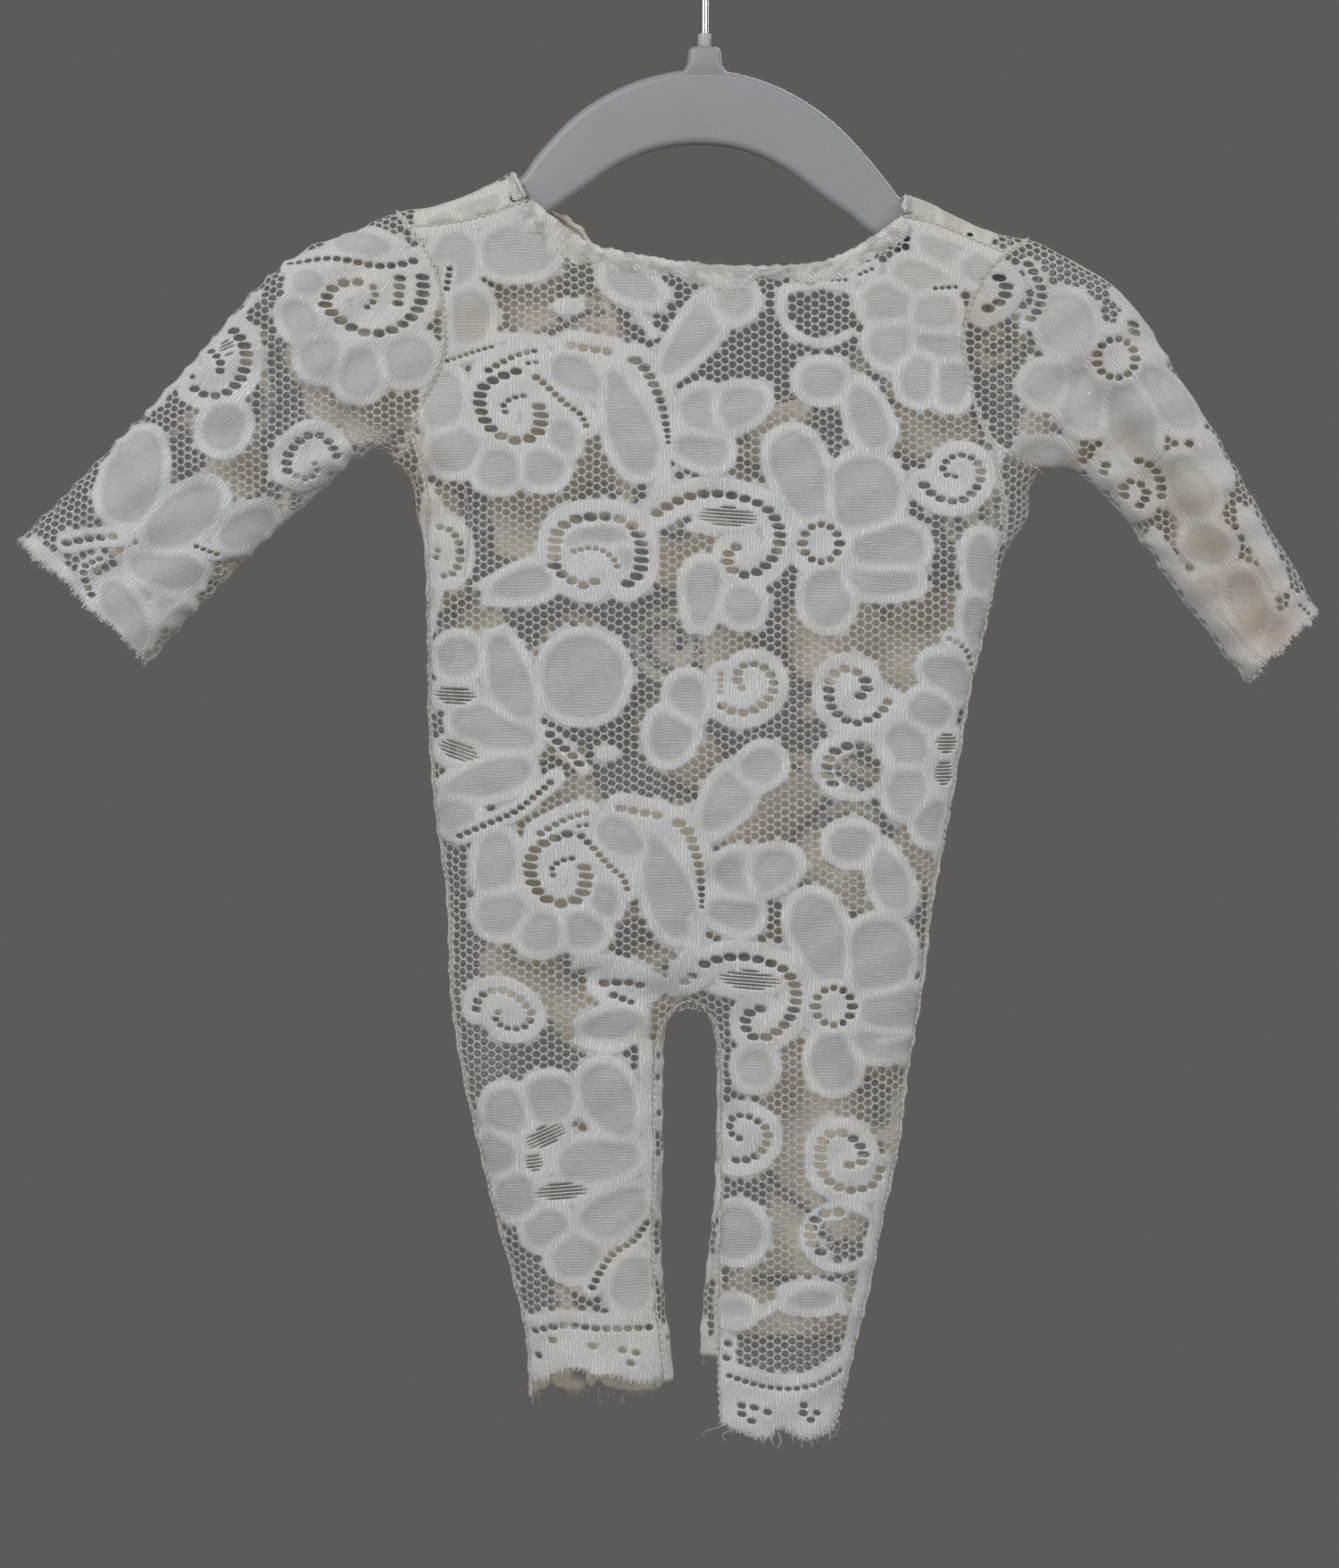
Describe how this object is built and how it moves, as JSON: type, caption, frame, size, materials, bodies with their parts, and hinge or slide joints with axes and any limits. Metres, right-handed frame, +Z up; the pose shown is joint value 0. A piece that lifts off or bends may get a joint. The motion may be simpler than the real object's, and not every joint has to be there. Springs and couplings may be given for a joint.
{
  "type": "baby romper on a hanger",
  "caption": "Lace baby romper with long sleeves, leg hems and a low scooped back, hung flat on a small arched hanger with a wire hook.",
  "frame": {"origin": "inside of the top of the wire hook's bend, where a rail carries it", "axes": "+Z up, +X to the right as the front is seen, +Y to the back of the romper; the rail runs along Y"},
  "size_m": [0.3731, 0.0214, 0.4597],
  "materials": {
    "lace": "ivory stretch lace with matt satin outlines",
    "lace_binding": "turned and stitched strip of the same lace",
    "hanger_plastic": "smooth matt moulding",
    "ferrule_plastic": "grey, slightly clear",
    "hook_wire": "bright plated wire"
  },
  "bodies": {
    "root": {"front": "lace", "back": "lace", "sleeve_left": "lace", "sleeve_right": "lace", "neck_binding_front": "lace_binding", "neck_binding_back": "lace_binding", "hanger": "hanger_plastic", "hook_ferrule": "ferrule_plastic", "hook": "hook_wire"}
  },
  "joints": []
}
